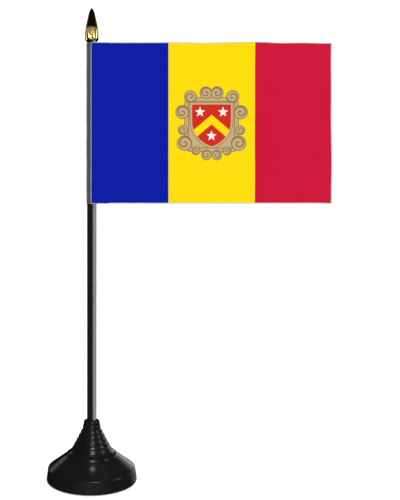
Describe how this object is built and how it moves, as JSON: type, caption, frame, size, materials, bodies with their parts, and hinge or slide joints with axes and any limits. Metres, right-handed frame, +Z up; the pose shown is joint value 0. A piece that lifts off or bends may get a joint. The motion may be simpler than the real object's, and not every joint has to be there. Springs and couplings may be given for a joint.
{
  "type": "desk flag stand",
  "caption": "Table flag on a thin upright pole: weighted bell foot, spear finial, and a small striped cloth flag whose sewn sleeve turns on the pole.",
  "frame": {"origin": "on the table, at the middle of the foot's underside, on the pole's axis", "axes": "+Z up along the pole, +X towards the flag's free edge, -Y the way the flag's printed face looks"},
  "size_m": [0.1789, 0.0566, 0.2968],
  "materials": {
    "foot_plastic": "gloss",
    "ballast_steel": "satin",
    "cover_plastic": "matte",
    "pad_rubber": "matte",
    "pole_plastic": "gloss",
    "finial_gold": "gloss",
    "finial_black": "gloss",
    "sleeve_tape": "matte",
    "flag_cloth": "matte",
    "edge_thread": "matte",
    "seam_thread": "matte"
  },
  "bodies": {
    "foot": {"foot_shell": "foot_plastic", "ballast_ring": "ballast_steel", "bottom_cover": "cover_plastic", "base_pad": "pad_rubber"},
    "pole": {"pole_tube": "pole_plastic"},
    "finial": {"finial_crown": "finial_gold", "finial_spear": "finial_black"},
    "flag": {"hoist_sleeve": "sleeve_tape", "flag_panel": "flag_cloth", "edge_overlock": "edge_thread", "seam_stitches": "seam_thread"}
  },
  "joints": [
    {"name": "pole_lift", "type": "slide", "parent": "foot", "child": "pole", "axis": [0, 0, 1], "range_m": [0, 0.04]},
    {"name": "flag_swivel", "type": "hinge", "parent": "pole", "child": "flag", "pos_m": [0, 0, 0.2237], "axis": [0, 0, 1], "continuous": true},
    {"name": "finial_pull", "type": "slide", "parent": "pole", "child": "finial", "axis": [0, 0, 1], "range_m": [0, 0.014]}
  ]
}
